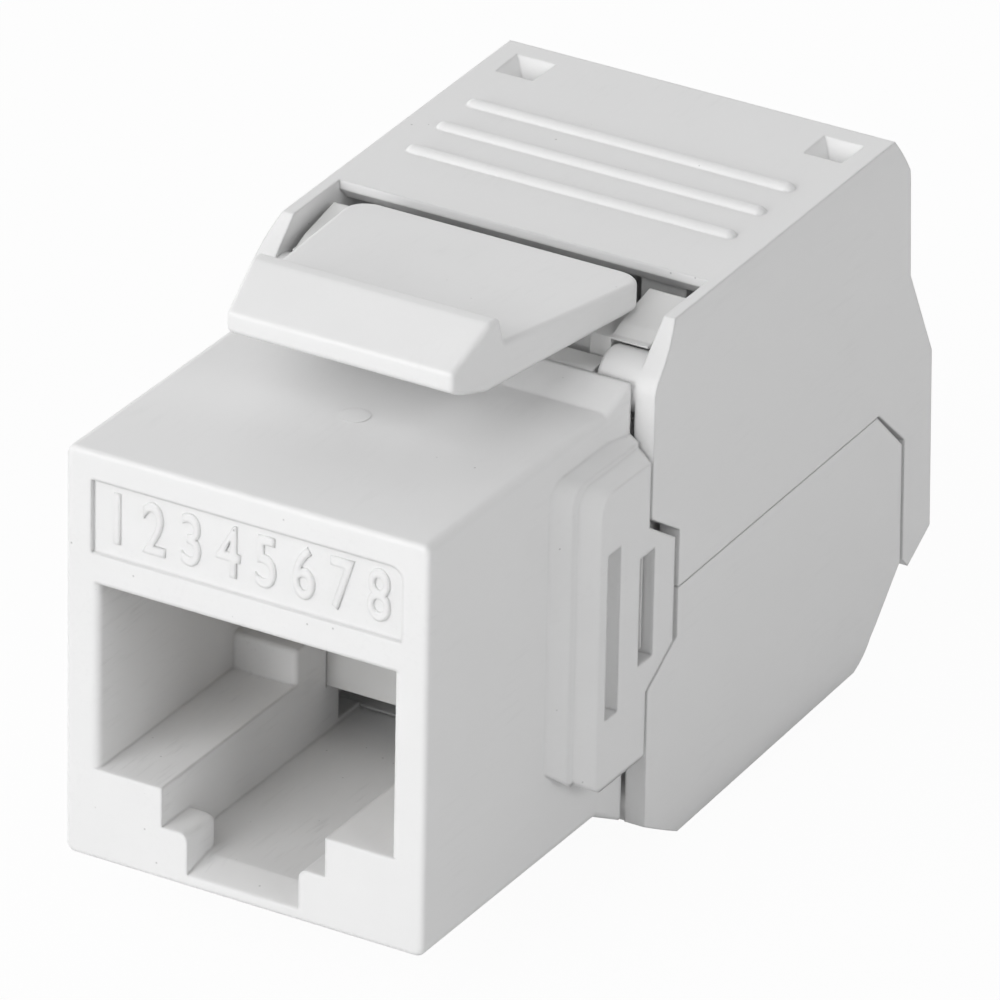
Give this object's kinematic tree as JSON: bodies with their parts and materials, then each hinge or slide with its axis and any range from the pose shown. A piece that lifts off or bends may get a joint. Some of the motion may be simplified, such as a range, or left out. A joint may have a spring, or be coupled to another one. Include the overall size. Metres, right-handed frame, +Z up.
{
  "type": "keystone jack",
  "caption": "White tool-free keystone jack with modular plug port, top release latch, side flanges and two hinged rear covers over wire-piercing terminals.",
  "frame": {"origin": "middle of the footprint of the whole jack, on its lowest level", "axes": "+X to the right seen from the plug side, +Y from the plug face to the cable entry, +Z up towards the release latch"},
  "size_m": [0.0166, 0.0342, 0.0227],
  "materials": {
    "white_moulding": "satin moulded white plastic",
    "carrier_moulding": "matt moulded white plastic",
    "board": "black solder mask on glass fibre",
    "gold_contact": "gold plated spring wire",
    "tinned_terminal": "tin plated bronze"
  },
  "bodies": {
    "jack_body": {"front_housing": "white_moulding", "contact_carrier": "carrier_moulding", "circuit_board": "board", "terminal_block": "white_moulding", "idc_terminal_1": "tinned_terminal", "idc_terminal_2": "tinned_terminal", "idc_terminal_3": "tinned_terminal", "idc_terminal_4": "tinned_terminal", "idc_terminal_5": "tinned_terminal", "idc_terminal_6": "tinned_terminal", "idc_terminal_7": "tinned_terminal", "idc_terminal_8": "tinned_terminal"},
    "latch": {"release_latch": "white_moulding"},
    "upper_cover": {"upper_cover": "white_moulding"},
    "lower_cover": {"lower_cover": "white_moulding"},
    "contact_1": {"contact_1": "gold_contact"},
    "contact_2": {"contact_2": "gold_contact"},
    "contact_3": {"contact_3": "gold_contact"},
    "contact_4": {"contact_4": "gold_contact"},
    "contact_5": {"contact_5": "gold_contact"},
    "contact_6": {"contact_6": "gold_contact"},
    "contact_7": {"contact_7": "gold_contact"},
    "contact_8": {"contact_8": "gold_contact"}
  },
  "joints": [
    {"name": "release_latch_flex", "type": "hinge", "parent": "jack_body", "child": "latch", "pos_m": [0, -0.0015, 0.01762], "axis": [1, 0, 0], "range_deg": [0, 10], "stiffness_Nm_per_rad": 0.6},
    {"name": "upper_cover_hinge", "type": "hinge", "parent": "jack_body", "child": "upper_cover", "pos_m": [0, -0.00255, 0.01842], "axis": [1, 0, 0], "range_deg": [0, 85]},
    {"name": "lower_cover_hinge", "type": "hinge", "parent": "jack_body", "child": "lower_cover", "pos_m": [0, -0.00255, 0.00232], "axis": [1, 0, 0], "range_deg": [-85, 0]},
    {"name": "contact_1_flex", "type": "hinge", "parent": "jack_body", "child": "contact_1", "pos_m": [0, -0.00585, 0.01252], "axis": [-1, 0, 0], "range_deg": [0, 10], "stiffness_Nm_per_rad": 0.0005},
    {"name": "contact_2_flex", "type": "hinge", "parent": "jack_body", "child": "contact_2", "pos_m": [0, -0.00585, 0.01252], "axis": [-1, 0, 0], "range_deg": [0, 10], "stiffness_Nm_per_rad": 0.0005},
    {"name": "contact_3_flex", "type": "hinge", "parent": "jack_body", "child": "contact_3", "pos_m": [0, -0.00585, 0.01252], "axis": [-1, 0, 0], "range_deg": [0, 10], "stiffness_Nm_per_rad": 0.0005},
    {"name": "contact_4_flex", "type": "hinge", "parent": "jack_body", "child": "contact_4", "pos_m": [0, -0.00585, 0.01252], "axis": [-1, 0, 0], "range_deg": [0, 10], "stiffness_Nm_per_rad": 0.0005},
    {"name": "contact_5_flex", "type": "hinge", "parent": "jack_body", "child": "contact_5", "pos_m": [0, -0.00585, 0.01252], "axis": [-1, 0, 0], "range_deg": [0, 10], "stiffness_Nm_per_rad": 0.0005},
    {"name": "contact_6_flex", "type": "hinge", "parent": "jack_body", "child": "contact_6", "pos_m": [0, -0.00585, 0.01252], "axis": [-1, 0, 0], "range_deg": [0, 10], "stiffness_Nm_per_rad": 0.0005},
    {"name": "contact_7_flex", "type": "hinge", "parent": "jack_body", "child": "contact_7", "pos_m": [0, -0.00585, 0.01252], "axis": [-1, 0, 0], "range_deg": [0, 10], "stiffness_Nm_per_rad": 0.0005},
    {"name": "contact_8_flex", "type": "hinge", "parent": "jack_body", "child": "contact_8", "pos_m": [0, -0.00585, 0.01252], "axis": [-1, 0, 0], "range_deg": [0, 10], "stiffness_Nm_per_rad": 0.0005}
  ],
  "couplings": [
    {"joint": "lower_cover_hinge", "follows": "upper_cover_hinge", "ratio": -1},
    {"joint": "contact_2_flex", "follows": "contact_1_flex", "ratio": 1},
    {"joint": "contact_3_flex", "follows": "contact_1_flex", "ratio": 1},
    {"joint": "contact_4_flex", "follows": "contact_1_flex", "ratio": 1},
    {"joint": "contact_5_flex", "follows": "contact_1_flex", "ratio": 1},
    {"joint": "contact_6_flex", "follows": "contact_1_flex", "ratio": 1},
    {"joint": "contact_7_flex", "follows": "contact_1_flex", "ratio": 1},
    {"joint": "contact_8_flex", "follows": "contact_1_flex", "ratio": 1}
  ]
}
